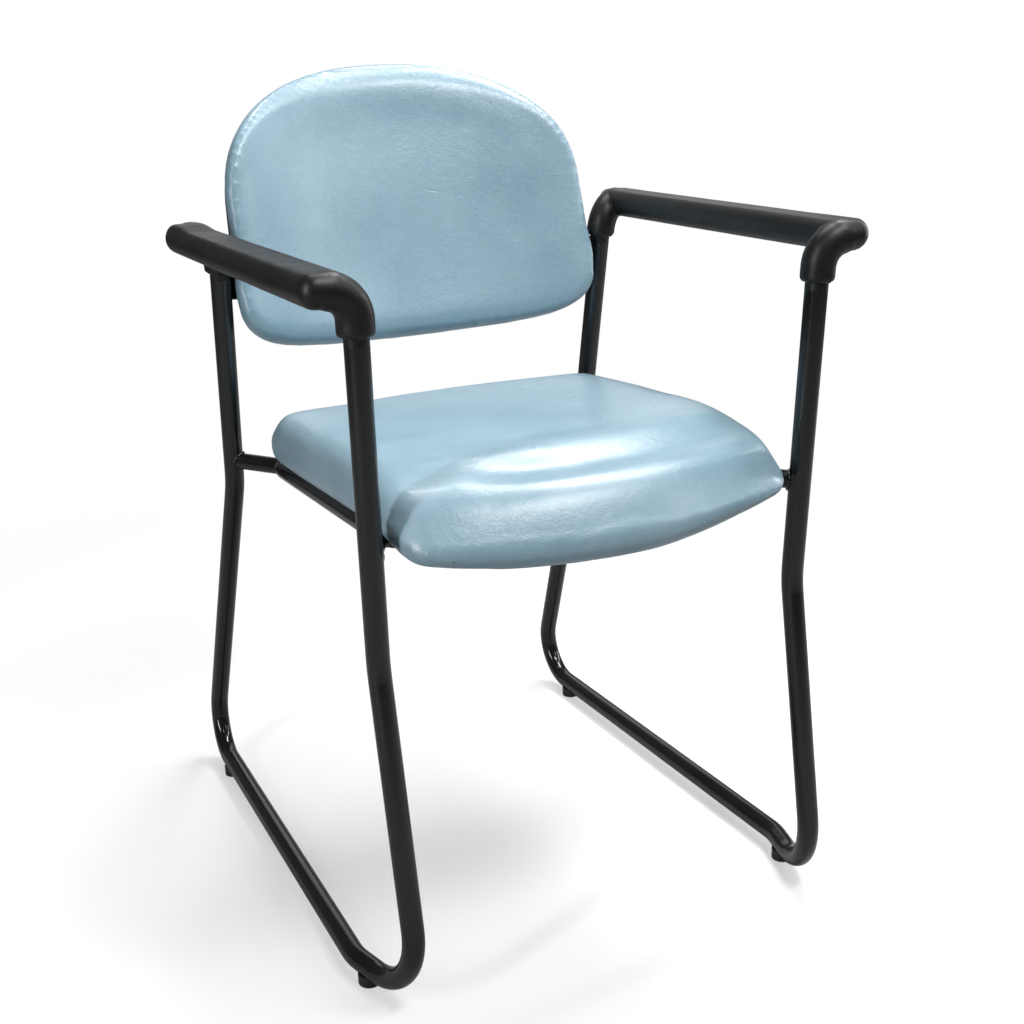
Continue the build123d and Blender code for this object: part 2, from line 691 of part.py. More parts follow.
posts = {"front": postEnd(postTopFront, kinkFront), "rear": postEnd(postTopRear, kinkRear)}
arm = barBlank(armFront, armRear)
arm = arm + elbowBlank(posts["front"], armFront) + elbowBlank(posts["rear"], armRear)
for end, post in posts.items():
    arm = arm - post * Pos(0, 0, plugBand) * Cylinder(
        plugSocketDia / 2 + socketRoom, plugSocketLength + 2 * socketRoom,
        align=(Align.CENTER, Align.CENTER, Align.MIN))
    arm = arm - post * Cylinder(collarDia, plugBand, align=(Align.CENTER, Align.CENTER, Align.MIN))
pieces["armrest_left"] = arm
pieces["armrest_right"] = mirrored(arm)

for end, post in posts.items():
    bore = tubeDia - 2 * tubeWall
    plug = post * (
        Cylinder(bore / 2 - spigotRoom, plugTubeLength, align=(Align.CENTER, Align.CENTER, Align.MAX))
        + Cylinder(tubeDia / 2, plugBand, align=(Align.CENTER, Align.CENTER, Align.MIN))
        + Cylinder(plugSocketDia / 2, plugBand + plugSocketLength,
                   align=(Align.CENTER, Align.CENTER, Align.MIN)))
    pieces[f"arm_plug_{end}_left"] = plug
    pieces[f"arm_plug_{end}_right"] = mirrored(plug)

# ---- put the origin on the floor under the middle of the whole chair ----
boxes = [shape.bounding_box() for shape in pieces.values()]
middleY = (min(b.min.Y for b in boxes) + max(b.max.Y for b in boxes)) / 2
floor = min(b.min.Z for b in boxes)
os.makedirs("parts", exist_ok=True)
for name, shape in pieces.items():
    solids = [Pos(0, -middleY, -floor) * solid for solid in shape.solids()]
    export_step(solids[0] if len(solids) == 1 else Compound(solids), f"parts/{name}.step")
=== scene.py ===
import bpy
from math import atan2, cos, exp, radians, sin, sqrt
from mathutils import Matrix, Vector, noise


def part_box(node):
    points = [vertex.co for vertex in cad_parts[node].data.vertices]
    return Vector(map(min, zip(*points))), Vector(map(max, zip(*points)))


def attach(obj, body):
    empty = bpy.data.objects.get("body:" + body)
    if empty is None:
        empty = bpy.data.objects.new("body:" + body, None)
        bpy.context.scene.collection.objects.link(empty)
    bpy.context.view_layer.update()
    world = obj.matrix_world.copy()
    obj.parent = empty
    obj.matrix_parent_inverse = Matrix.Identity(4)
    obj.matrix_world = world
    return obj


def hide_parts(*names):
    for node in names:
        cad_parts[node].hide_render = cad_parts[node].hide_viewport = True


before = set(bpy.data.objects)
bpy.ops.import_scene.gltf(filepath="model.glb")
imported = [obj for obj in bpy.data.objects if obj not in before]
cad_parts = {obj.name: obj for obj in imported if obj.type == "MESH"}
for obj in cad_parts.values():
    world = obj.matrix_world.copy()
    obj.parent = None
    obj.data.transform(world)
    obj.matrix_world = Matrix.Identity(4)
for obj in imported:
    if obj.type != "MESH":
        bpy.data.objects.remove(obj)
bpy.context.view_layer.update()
print("frame loaded")

mergeWithin = 0.00002        # doubles of a CAD mesh lie closer than this
tiny = 1e-9                  # keeps a length from being divided by nothing


def clearSelection():
    if bpy.context.object and bpy.context.object.mode != "OBJECT":
        bpy.ops.object.mode_set(mode="OBJECT")
    bpy.ops.object.select_all(action="DESELECT")


def activate(piece):
    clearSelection()
    piece.select_set(True)
    bpy.context.view_layer.objects.active = piece


def useModifier(piece, kind, **values):
    # adds a modifier, sets it and applies it at once
    activate(piece)
    modifier = piece.modifiers.new(kind.lower(), kind)
    for name, value in values.items():
        setattr(modifier, name, value)
    bpy.ops.object.modifier_apply(modifier=modifier.name)


def smoothAll(piece):
    for face in piece.data.polygons:
        face.use_smooth = True


def copyOfNode(node, name):
    # a loose copy of a CAD node, its doubles merged
    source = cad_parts[node]
    piece = bpy.data.objects.new(name, source.data.copy())
    piece.data.transform(source.matrix_world)
    bpy.context.collection.objects.link(piece)
    piece.data.materials.clear()
    activate(piece)
    bpy.ops.object.mode_set(mode="EDIT")
    bpy.ops.mesh.select_all(action="SELECT")
    bpy.ops.mesh.remove_doubles(threshold=mergeWithin)
    bpy.ops.mesh.normals_make_consistent(inside=False)
    bpy.ops.object.mode_set(mode="OBJECT")
    return piece


def dress(piece, material):
    piece.data.materials.clear()
    piece.data.materials.append(material)


def ease(low, high, value):
    # 0 below low, 1 above high, smooth between
    t = max(0.0, min(1.0, (value - low) / (high - low)))
    return t * t * (3 - 2 * t)


def hill(value, centre, width):
    # 1 at the centre, falling away on both sides
    return exp(-((value - centre) / width) ** 2)


cameraSettings = {
    "place": (-0.6091, -1.4141, 0.8539), "turn": -23.76, "tilt": 18.87, "roll": -2.71,
    "lens": 50.45, "sensor": 36, "shiftX": 0.0186, "shiftY": 0.0488}


def addCamera(s):
    turn, tilt, roll = radians(s["turn"]), radians(s["tilt"]), radians(s["roll"])
    back = Vector((sin(turn) * cos(tilt), -cos(turn) * cos(tilt), sin(tilt)))
    right = Vector((cos(turn), sin(turn), 0))
    up = back.cross(right)
    across = right * cos(roll) + up * sin(roll)
    above = up * cos(roll) - right * sin(roll)
    data = bpy.data.cameras.new("camera")
    data.sensor_width = s["sensor"]
    data.lens = s["lens"]
    data.shift_x, data.shift_y = s["shiftX"], s["shiftY"]
    camera = bpy.data.objects.new("camera", data)
    turned = Matrix((across, above, back)).transposed().to_4x4()
    camera.matrix_world = Matrix.Translation(s["place"]) @ turned
    bpy.context.collection.objects.link(camera)
    bpy.context.scene.camera = camera


addCamera(cameraSettings)
bpy.context.scene.view_settings.view_transform = "Standard"
print("camera set")


class Recipe:
    # a node material under construction
    def __init__(self, name):
        self.material = bpy.data.materials.new(name)
        self.material.use_nodes = True
        self.tree = self.material.node_tree
        self.shader = self.tree.nodes["Principled BSDF"]
        self.place = self.add("ShaderNodeTexCoord").outputs["Object"]

    def add(self, kind, **values):
        node = self.tree.nodes.new(kind)
        for name, value in values.items():
            if name in node.inputs:
                node.inputs[name].default_value = value
            else:
                setattr(node, name, value)
        return node

    def join(self, source, target):
        self.tree.links.new(source, target)

    def stretched(self, scale):
        # Object coordinates, scaled along each axis
        mapping = self.add("ShaderNodeMapping")
        mapping.inputs["Scale"].default_value = scale
        self.join(self.place, mapping.inputs["Vector"])
        return mapping.outputs["Vector"]

    def noise(self, scale, detail=3.0, rough=0.5, vector=None, distort=0.0):
        node = self.add("ShaderNodeTexNoise")
        node.inputs["Scale"].default_value = scale
        node.inputs["Detail"].default_value = detail
        node.inputs["Roughness"].default_value = rough
        node.inputs["Distortion"].default_value = distort
        self.join(vector or self.place, node.inputs["Vector"])
        return node.outputs["Fac"]

    def cells(self, scale):
        # how far a place is from the edge of its cell
        node = self.add("ShaderNodeTexVoronoi", feature="DISTANCE_TO_EDGE")
        node.inputs["Scale"].default_value = scale
        self.join(self.place, node.inputs["Vector"])
        return node.outputs["Distance"]

    def ramp(self, value, stops):
        node = self.add("ShaderNodeValToRGB")
        ramp = node.color_ramp
        while len(ramp.elements) < len(stops):
            ramp.elements.new(0.5)
        for element, (at, shade) in zip(ramp.elements, stops):
            element.position = at
            element.color = (*shade, 1) if isinstance(shade, tuple) else (shade, shade, shade, 1)
        self.join(value, node.inputs["Fac"])
        return node.outputs["Color"]

    def maths(self, operation, a, b=0.0):
        node = self.add("ShaderNodeMath")
        node.operation = operation
        for socket, value in zip(node.inputs, (a, b)):
            if isinstance(value, (int, float)):
                socket.default_value = value
            else:
                self.join(value, socket)
        return node.outputs["Value"]

    def along(self, operation, a, b=None):
        # a vector node, with its second vector where it needs one
        node = self.add("ShaderNodeVectorMath", operation=operation)
        self.join(a, node.inputs[0])
        if b is not None:
            node.inputs[1].default_value = b
        return node.outputs

    def blend(self, share, a, b):
        node = self.add("ShaderNodeMix", data_type="RGBA")
        self.join(share, node.inputs[0])
        for socket, value in ((node.inputs[6], a), (node.inputs[7], b)):
            if isinstance(value, tuple):
                socket.default_value = (*value, 1)
            else:
                self.join(value, socket)
        return node.outputs[2]

    def bump(self, layers):
        # layers of (height, strength, distance), each on top of the last
        normal = None
        for height, strength, distance in layers:
            node = self.add("ShaderNodeBump")
            node.inputs["Strength"].default_value = strength
            node.inputs["Distance"].default_value = distance
            self.join(height, node.inputs["Height"])
            if normal:
                self.join(normal, node.inputs["Normal"])
            normal = node.outputs["Normal"]
        self.join(normal, self.shader.inputs["Normal"])

    def colour(self, socket):
        self.join(socket, self.shader.inputs["Base Color"])

    def roughness(self, value, low, high):
        node = self.add("ShaderNodeMapRange")
        node.inputs["To Min"].default_value = low
        node.inputs["To Max"].default_value = high
        self.join(value, node.inputs["Value"])
        self.join(node.outputs["Result"], self.shader.inputs["Roughness"])

    def fixed(self, **values):
        for name, value in values.items():
            self.shader.inputs[name.replace("_", " ")].default_value = value


powderCoat = {
    "dark": (0.003, 0.0036, 0.0038), "light": (0.007, 0.0085, 0.009), "patches": 14,
    "gloss": 60, "rough": (0.1, 0.2),
    "wave": 70, "waveDepth": 0.0006, "peel": 700, "peelDepth": 0.00012,
    "specular": 0.45, "coat": 0.2, "coatRough": 0.1}


def makePowderCoat(s):
    m = Recipe("powderCoat")
    m.colour(m.ramp(m.noise(s["patches"], 4), [(0.3, s["dark"]), (0.75, s["light"])]))
    m.roughness(m.noise(s["gloss"], 4), *s["rough"])
    m.bump([(m.noise(s["wave"], 3), 0.2, s["waveDepth"]), (m.noise(s["peel"], 2), 0.3, s["peelDepth"])])
    m.fixed(Specular_IOR_Level=s["specular"], Coat_Weight=s["coat"], Coat_Roughness=s["coatRough"])
    return m.material


mouldedBlack = {
    "dark": (0.0035, 0.0034, 0.0035), "light": (0.009, 0.0083, 0.0082), "patches": 9,
    "scuff": (0.034, 0.025, 0.023), "scuffs": 38, "scuffStretch": (1, 0.35, 1), "scuffShare": 0.6,
    "gloss": 45, "rough": (0.34, 0.5),
    "wave": 55, "waveDepth": 0.0008, "pits": 620, "pitDepth": 0.00025,
    "grain": 1300, "grainDepth": 0.0002, "specular": 0.36}


def makeMouldedBlack(s):
    m = Recipe("mouldedBlack")
    base = m.ramp(m.noise(s["patches"], 5), [(0.35, s["dark"]), (0.7, s["light"])])
    worn = m.noise(s["scuffs"], 8, 0.7, m.stretched(s["scuffStretch"]))
    m.colour(m.blend(m.ramp(worn, [(0.56, 0.0), (0.8, s["scuffShare"])]), base, s["scuff"]))
    m.roughness(m.noise(s["gloss"], 5), *s["rough"])
    m.bump([(m.noise(s["wave"], 4), 0.3, s["waveDepth"]), (m.cells(s["pits"]), 0.3, s["pitDepth"]),
            (m.noise(s["grain"], 2), 0.5, s["grainDepth"])])
    m.fixed(Specular_IOR_Level=s["specular"])
    return m.material


vinyl = {
    "shade": (0.19, 0.305, 0.375), "light": (0.265, 0.39, 0.465), "cloud": 7, "fleck": 170,
    "cloudShare": 0.75, "gloss": 34, "rough": (0.24, 0.36),
    "dimple": 21, "dimpleDepth": 0.0022, "wrinkle": 75, "wrinkleDepth": 0.0008,
    "grain": 330, "grainDepth": 0.00022, "pores": 900, "poreDepth": 0.00015,
    "creaseHalf": 0.0016, "creaseDepth": 0.0018,
    "specular": 0.5, "coat": 0.2, "coatRough": 0.24}


def makeVinyl(s, name, marks, strength):
    # marks are (centre, reach, direction) of short creases pressed into the cover
    m = Recipe(name)
    cloud = m.maths("MULTIPLY", m.noise(s["cloud"], 4, 0.55), s["cloudShare"])
    fleck = m.maths("MULTIPLY", m.noise(s["fleck"], 6, 0.62), 1 - s["cloudShare"])
    m.colour(m.ramp(m.maths("ADD", cloud, fleck), [(0.34, s["shade"]), (0.66, s["light"])]))
    wrinkle = m.noise(s["wrinkle"], 8, 0.66, m.stretched((1, 1, 1.5)), 1.2)
    dimple = m.noise(s["dimple"], 3, 0.5)
    grain = m.ramp(m.cells(s["grain"]), [(0.0, 0.0), (0.16, 1.0)])
    pores = m.noise(s["pores"], 3, 0.6)
    layers = [(dimple, 0.35, s["dimpleDepth"]), (wrinkle, 0.5, s["wrinkleDepth"]),
              (grain, 0.22, s["grainDepth"]), (pores, 0.25, s["poreDepth"])]
    for centre, reach, direction in marks:
        crease = makeCrease(m, centre, reach, direction, s["creaseHalf"])
        layers.insert(0, (crease, strength, s["creaseDepth"]))
    m.roughness(m.noise(s["gloss"], 5), *s["rough"])
    m.bump(layers)
    m.fixed(Specular_IOR_Level=s["specular"], Coat_Weight=s["coat"], Coat_Roughness=s["coatRough"])
    return m.material


def makeCrease(m, centre, reach, direction, half):
    # a soft groove: deep on its line, gone at its ends
    shift = m.along("SUBTRACT", m.place, centre)["Vector"]
    run = m.along("DOT_PRODUCT", shift, Vector(direction).normalized())["Value"]
    far = m.along("LENGTH", shift)["Value"]
    away = m.maths("SUBTRACT", m.maths("MULTIPLY", far, far), m.maths("MULTIPLY", run, run))
    side = m.maths("SQRT", m.maths("MAXIMUM", away, 0.0))
    fade = m.maths("DIVIDE", m.maths("ABSOLUTE", run), reach)
    return m.maths("MINIMUM", m.maths("MAXIMUM", m.maths("DIVIDE", side, half), fade), 1.0)


seatMarks = [
    ((-0.163, -0.318, 0.4485), 0.012, (0.05, 0.25, 1)),
    ((0.166, -0.317, 0.4485), 0.011, (-0.05, 0.25, 1))]
backMarks = [
    ((0.001, 0.181, 0.708), 0.013, (1, 0.05, 0.45)),
    ((0.037, 0.182, 0.726), 0.009, (1, -0.05, -0.3)),
    ((0.052, 0.187, 0.742), 0.007, (1, 0, 0.3)),
    ((0.02, 0.184, 0.722), 0.006, (1, 0, -0.7))]
markStrength = {"seat": 0.6, "back": 0.22}

# plainer finishes: colours, their patches, gloss, surface grain and how metallic they are
plainFinishes = {
    "birchPly": {"dark": (0.42, 0.28, 0.15), "light": (0.66, 0.48, 0.3), "patches": 12,
                 "rough": (0.55, 0.75), "grain": 300, "metallic": 0.0, "stretch": (1, 9, 9)},
    "shellPlastic": {"dark": (0.01, 0.01, 0.011), "light": (0.02, 0.02, 0.021), "patches": 20,
                     "rough": (0.42, 0.58), "grain": 1100, "metallic": 0.0, "stretch": (1, 1, 1)},
    "glidePlastic": {"dark": (0.008, 0.008, 0.008), "light": (0.02, 0.02, 0.02), "patches": 60,
                     "rough": (0.4, 0.6), "grain": 900, "metallic": 0.0, "stretch": (1, 1, 1)},
    "dustCloth": {"dark": (0.012, 0.012, 0.013), "light": (0.03, 0.03, 0.032), "patches": 900,
                  "rough": (0.85, 0.95), "grain": 1600, "metallic": 0.0, "stretch": (1, 1, 1)},
    "blackOxide": {"dark": (0.02, 0.02, 0.021), "light": (0.05, 0.05, 0.052), "patches": 200,
                   "rough": (0.3, 0.45), "grain": 700, "metallic": 0.8, "stretch": (1, 1, 1)},
    "bareSteel": {"dark": (0.32, 0.32, 0.33), "light": (0.55, 0.55, 0.56), "patches": 300,
                  "rough": (0.3, 0.5), "grain": 900, "metallic": 1.0, "stretch": (1, 1, 1)}}
plainDepth = 0.0002


def makePlain(name, s):
    m = Recipe(name)
    patches = m.noise(s["patches"], 5, 0.6, m.stretched(s["stretch"]))
    m.colour(m.ramp(patches, [(0.3, s["dark"]), (0.7, s["light"])]))
    m.roughness(m.noise(s["patches"] * 2, 4), *s["rough"])
    m.bump([(m.noise(s["grain"], 3), 0.35, plainDepth)])
    m.fixed(Metallic=s["metallic"])
    return m.material


coatMaterial = makePowderCoat(powderCoat)
armMaterial = makeMouldedBlack(mouldedBlack)
seatVinyl = makeVinyl(vinyl, "seatVinyl", seatMarks, markStrength["seat"])
backVinyl = makeVinyl(vinyl, "backVinyl", backMarks, markStrength["back"])
plain = {name: makePlain(name, s) for name, s in plainFinishes.items()}

# the finish of each CAD node, by the start of its name
nodeMaterials = {
    "side_frame": coatMaterial, "seat_rail": coatMaterial, "seat_cross": coatMaterial,
    "seat_outrigger": coatMaterial, "seat_tab": coatMaterial, "back_bracket": coatMaterial,
    "arm_plug": armMaterial, "glide": plain["glidePlastic"], "back_shell": plain["shellPlastic"],
    "seat_board": plain["birchPly"], "back_board": plain["birchPly"],
    "seat_dust_cover": plain["dustCloth"], "seat_screws": plain["blackOxide"],
    "seat_washers": plain["blackOxide"], "back_screws": plain["blackOxide"],
    "seat_tee_nuts": plain["bareSteel"], "back_tee_nuts": plain["bareSteel"]}
for name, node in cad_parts.items():
    for start, material in nodeMaterials.items():
        if name.startswith(start):
            dress(node, material)
print("materials made")


# armrests: one moulded skin over the CAD arm, its junctions melted together
armSettings = {
    "voxel": 0.0017, "melt": 12, "swell": 0.0010,
    "barOut": 0.013,                                     # bar's middle from the middle of the arm's box
    "elbow": 0.06, "elbowNear": 0.015, "elbowFar": 0.035,      # where the flat crown runs out
    "press": 0.0007, "pressBelow": 0.003, "pressAcross": 0.02,
    "facetHalf": 0.0125, "facetInner": 0.0006, "facetOuter": 0.0016,
    "lump": 0.0005, "lumpScale": (30, 22, 30), "lumpBelow": 0.02,
    "rearRise": {"left": 0.0, "right": 0.0026},          # one rear elbow stands a little higher
    "rearSet": 0.04, "rearWidth": 0.03, "rearBelow": 0.012}
crownNear = (0.006, 0.004)                               # how near, across and along, a point is read


def crownAt(piece, middle, y):
    # height of the bar's crown at a place along it
    across, along = crownNear
    return max(v.co.z for v in piece.data.vertices
               if abs(v.co.x - middle) < across and abs(v.co.y - y) < along)


def pressArm(piece, s, side):
    # a flat pressed crown that runs out at both elbows, and slight lumps left by the mould
    low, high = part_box("armrest_" + side)
    middle = (low[0] + high[0]) / 2 + (s["barOut"] if side == "left" else -s["barOut"])
    front, rear = low[1] + s["elbow"], high[1] - s["elbow"]
    near, far = s["elbowNear"], s["elbowFar"]
    start, stop = crownAt(piece, middle, front), crownAt(piece, middle, rear)
    scaleX, scaleY, scaleZ = s["lumpScale"]
    for v in piece.data.vertices:
        x, y, z = v.co
        lump = noise.noise(Vector((x * scaleX, y * scaleY, z * scaleZ))) * s["lump"]
        along = ease(front - near, front + far, y) * (1 - ease(rear - far, rear + near, y))
        crown = start + (stop - start) * (y - front) / (rear - front) - s["press"]
        across = abs(x - middle)
        if z > crown - s["pressBelow"] and across < s["pressAcross"]:
            inside = 1 - ease(s["facetHalf"] - s["facetInner"], s["facetHalf"] + s["facetOuter"], across)
            v.co.z = z + (min(z, crown) - z) * along * inside
        elif z > crown - s["lumpBelow"]:
            v.co.z += lump
        v.co.z += (s["rearRise"][side] * hill(y, high[1] - s["rearSet"], s["rearWidth"])
                   * ease(crown - s["rearBelow"], crown, z))
    piece.data.update()


def makeArm(side, s):
    arm = copyOfNode("armrest_" + side, "armrestSkin" + side.capitalize())
    useModifier(arm, "REMESH", mode="VOXEL", voxel_size=s["voxel"])
    useModifier(arm, "SMOOTH", factor=0.5, iterations=s["melt"])
    useModifier(arm, "DISPLACE", strength=s["swell"], mid_level=0)
    pressArm(arm, s, side)
    smoothAll(arm)
    dress(arm, armMaterial)
    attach(arm, "root")
    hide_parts("armrest_" + side)


for side in ("left", "right"):
    makeArm(side, armSettings)
print("armrests made")


# pads: a pressurised cloth over the foam, evened out, then shaped as a used pad
cushionSettings = {
    "seat": {"node": "seat_pad", "voxel": 0.005, "melt": 3, "cap": 0.003, "swell": 0.0009},
    "back": {"node": "back_pad", "voxel": 0.0045, "melt": 3, "cap": 0.002, "swell": 0.0009}}
clothSettings = {
    "pressure": 4, "frames": 20, "quality": 5, "stretch": 30, "bend": 2,
    "even": 40}                                          # rounds that even out the cloth's moves


def settleCover(piece, s, cap, held):
    # lets the cover settle, then keeps it near where it began and free of crumples
    before = [v.co.copy() for v in piece.data.vertices]
    group = piece.vertex_groups.new(name="held")
    for i, share in enumerate(held):
        group.add([i], share, "REPLACE")
    activate(piece)
    cloth = piece.modifiers.new("cloth", "CLOTH")
    cloth.settings.use_pressure = True
    cloth.settings.uniform_pressure_force = s["pressure"]
    cloth.settings.quality = s["quality"]
    cloth.settings.tension_stiffness = s["stretch"]
    cloth.settings.compression_stiffness = s["stretch"]
    cloth.settings.bending_stiffness = s["bend"]
    cloth.settings.effector_weights.gravity = 0
    cloth.settings.vertex_group_mass = "held"
    cloth.collision_settings.use_collision = False
    cloth.point_cache.frame_start, cloth.point_cache.frame_end = 1, s["frames"]
    for step in range(1, s["frames"] + 1):
        bpy.context.scene.frame_set(step)
    bpy.ops.object.modifier_apply(modifier=cloth.name)
    bpy.context.scene.frame_set(1)
    moves = [v.co - start for v, start in zip(piece.data.vertices, before)]
    pairs = [tuple(edge.vertices) for edge in piece.data.edges]
    for _ in range(s["even"]):
        sums, counts = [move.copy() for move in moves], [1] * len(moves)
        for a, b in pairs:
            sums[a] += moves[b]
            sums[b] += moves[a]
            counts[a] += 1
            counts[b] += 1
        moves = [total / count for total, count in zip(sums, counts)]
    for v, start, move in zip(piece.data.vertices, before, moves):
        v.co = start + move * min(1.0, cap / max(move.length, tiny))
    piece.vertex_groups.clear()


def makeCushion(name, s, held, sculpt, material):
    cushion = copyOfNode(s["node"], name)
    useModifier(cushion, "REMESH", mode="VOXEL", voxel_size=s["voxel"])
    useModifier(cushion, "SMOOTH", factor=0.5, iterations=s["melt"])
    settleCover(cushion, clothSettings, s["cap"], [held(v) for v in cushion.data.vertices])
    useModifier(cushion, "DISPLACE", strength=s["swell"], mid_level=0)
    useModifier(cushion, "SUBSURF", levels=1, render_levels=1)
    sculpt(cushion)
    smoothAll(cushion)
    dress(cushion, material)
    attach(cushion, "root")
    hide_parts(s["node"])
    print(name, "made")


seatLow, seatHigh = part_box("seat_pad")
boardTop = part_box("seat_board")[1][2]

seatShape = {
    "bow": 0.044,                                        # how far the front edge falls back at the sides
    "crest": 0.112, "valley": 0.069, "second": 0.034,    # how far behind that edge each one runs
    "crestRise": 0.0028, "valleyDip": 0.0044, "secondRise": 0.002, "width": 0.019,
    "ends": (0.72, 0.97),                                # shares of the half width where they run out
    "faint": 0.35, "faintX": (-0.13, -0.05),             # and they are fainter at one end
    "cornerX": -0.143, "cornerY": -0.258, "cornerWidth": 0.03, "cornerRise": 0.0046,
    "lump": 0.0007, "lumpScale": 16,
    "noseBelow": (0.045, 0.075), "noseY": (-0.26, -0.2),
    "leftDrop": 0.0024, "leftX": (0.02, 0.12), "rightLift": 0.0045, "rightX": (0.02, 0.14),
    "topFrom": 0.15, "topFull": 0.5,                     # upward share of a normal that counts as top
    "heldFacing": -0.3, "heldBelow": 0.012}


def seatHeld(v):
    # the underside and the pocket round the board don't swell
    s = seatShape
    return 1.0 if v.normal.z < s["heldFacing"] or v.co.z < boardTop - s["heldBelow"] else 0.0


def sculptSeat(piece):
    s = seatShape
    half = seatHigh[0]
    noseStart, noseStop = s["noseBelow"]
    normals = [v.normal.copy() for v in piece.data.vertices]
    for v, normal in zip(piece.data.vertices, normals):
        x, y, z = v.co
        # the nose sags a little more on one side than on the other
        nose = ease(noseStart, noseStop, seatHigh[2] - z) * (1 - ease(*s["noseY"], y))
        v.co.z -= nose * (s["leftDrop"] * ease(*s["leftX"], -x) - s["rightLift"] * ease(*s["rightX"], x))
        if normal.z < s["topFrom"]:
            continue
        front = seatLow[1] + s["bow"] * (x / half) ** 2
        behind = y - front
        up = ease(s["topFrom"], s["topFull"], normal.z)
        inner = 1 - ease(*s["ends"], abs(x) / half)
        fade = s["faint"] + (1 - s["faint"]) * ease(*s["faintX"], x)
        rise = (s["crestRise"] * hill(behind, s["crest"], s["width"])
                - s["valleyDip"] * hill(behind, s["valley"], s["width"])
                + s["secondRise"] * hill(behind, s["second"], s["width"])) * inner * fade
        corner = (s["cornerRise"] * hill(x, s["cornerX"], s["cornerWidth"])
                  * hill(y, s["cornerY"], s["cornerWidth"]))
        lumps = noise.noise(Vector((x * s["lumpScale"], y * s["lumpScale"], 0.3))) * s["lump"]
        v.co += normal * ((rise + corner + lumps) * up)
    piece.data.update()


backLow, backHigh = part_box("back_pad")
backMiddle, backReach = (backLow[2] + backHigh[2]) / 2, (backHigh[2] - backLow[2]) / 2

backShape = {
    "outward": (0, -0.964, 0.267),                       # the way the leaning back faces
    "arch": 2.25, "foot": 6.0, "flare": 0.04,            # its outline
    "rim": 0.8, "rimWidth": 0.1, "rimRise": 0.0008, "dish": 0.0008, "dishShare": (0.35, 0.82),
    "lean": 0.0055, "leanFrom": 0.05, "leanFacing": (-0.1, 0.75),   # the top leans further back
    "lump": 0.0008, "lumpScale": 14, "faceFacing": (0.35, 0.7),
    "cornerOut": 0.0025, "cornerRise": (0.03, 0.12), "sideIn": 0.0034, "sideZ": (0.62, 0.78),
    "sideX": (0.1, 0.2), "shapedUpTo": 0.1, "heldFacing": 0.2}


def backHeld(v):
    # the rear face and the pocket round the board don't swell
    return 1.0 if v.normal.y > backShape["heldFacing"] else 0.0


def backShare(co):
    # 0 in the middle of the back, 1 at its outline
    up = (co.z - backMiddle) / backReach
    power = backShape["arch"] if up > 0 else backShape["foot"]
    across = min(1.0, abs(co.x) / (backHigh[0] * (1 - backShape["flare"] * up)))
    return (across ** power + abs(up) ** power) ** (1 / power)


def sculptBack(piece):
    s = backShape
    outward = Vector(s["outward"])
    cornerLow, cornerHigh = (backLow[2] + rise for rise in s["cornerRise"])
    normals = [v.normal.copy() for v in piece.data.vertices]
    for v, normal in zip(piece.data.vertices, normals):
        # the cover is pulled out at one lower corner and in along the other side
        low = 1 - ease(cornerLow, cornerHigh, v.co.z)
        v.co.x -= s["cornerOut"] * low * ease(*s["sideX"], -v.co.x)
        v.co.x -= s["sideIn"] * (1 - ease(*s["sideZ"], v.co.z)) * ease(*s["sideX"], v.co.x)
        if normal.y > s["shapedUpTo"]:
            continue
        share = backShare(v.co)
        facing = ease(*s["faceFacing"], -normal.y)
        rim = s["rimRise"] * hill(share, s["rim"], s["rimWidth"])
        dish = s["dish"] * (1 - ease(*s["dishShare"], share))
        above = max(0.0, (v.co.z - backMiddle) / backReach - s["leanFrom"])
        lean = s["lean"] * above ** 2 * ease(*s["leanFacing"], -normal.y)
        spot = Vector((v.co.x * s["lumpScale"], v.co.z * s["lumpScale"], 3.1))
        v.co += outward * ((rim - dish + noise.noise(spot) * s["lump"]) * facing - lean)
    piece.data.update()


makeCushion("seatCushion", cushionSettings["seat"], seatHeld, sculptSeat, seatVinyl)
makeCushion("backCushion", cushionSettings["back"], backHeld, sculptBack, backVinyl)


# weld beads round the ends of the outriggers
beadSettings = {
    "thick": 0.0023, "ripple": 0.00035, "ripples": 26, "around": 104, "section": 12,
    "sunk": 0.0004, "rimBand": 0.0006}                   # into the tubes, and of the rim that is read
ringShare = 0.2                                          # thickness of the ring a bead starts as


def tubeEnd(node, outer, band):
    # the rim of a tube's cut end as (axis point, axis, sideways, other, radius, outline),
    # where the outline is the reach along the axis at each angle
    points = [node.matrix_world @ v.co for v in node.data.vertices]
    edge = (min(abs(p.x) for p in points) + max(abs(p.x) for p in points)) / 2
    near = [p for p in points if (abs(p.x) > edge) == outer]
    far = [p for p in points if (abs(p.x) > edge) != outer]
    start, stop = sum(near, Vector()) / len(near), sum(far, Vector()) / len(far)
    axis = (start - stop).normalized()
    sideways = axis.cross(Vector((0, 0, 1))).normalized()
    other = axis.cross(sideways)
    rim = []
    for p in near:
        move = p - start
        a, b = move.dot(sideways), move.dot(other)
        rim.append((sqrt(a * a + b * b), atan2(b, a), move.dot(axis)))
    radius = max(r for r, _, _ in rim)
    outline = sorted((angle, reach) for r, angle, reach in rim if r > radius - band)
    return start, axis, sideways, other, radius, outline


def reachAt(outline, angle):
    # reads the rim at an angle, straight between its points
    for (a, low), (b, high) in zip(outline, outline[1:]):
        if a <= angle <= b and b > a:
            return low + (high - low) * (angle - a) / (b - a)
    return (outline[0][1] + outline[-1][1]) / 2


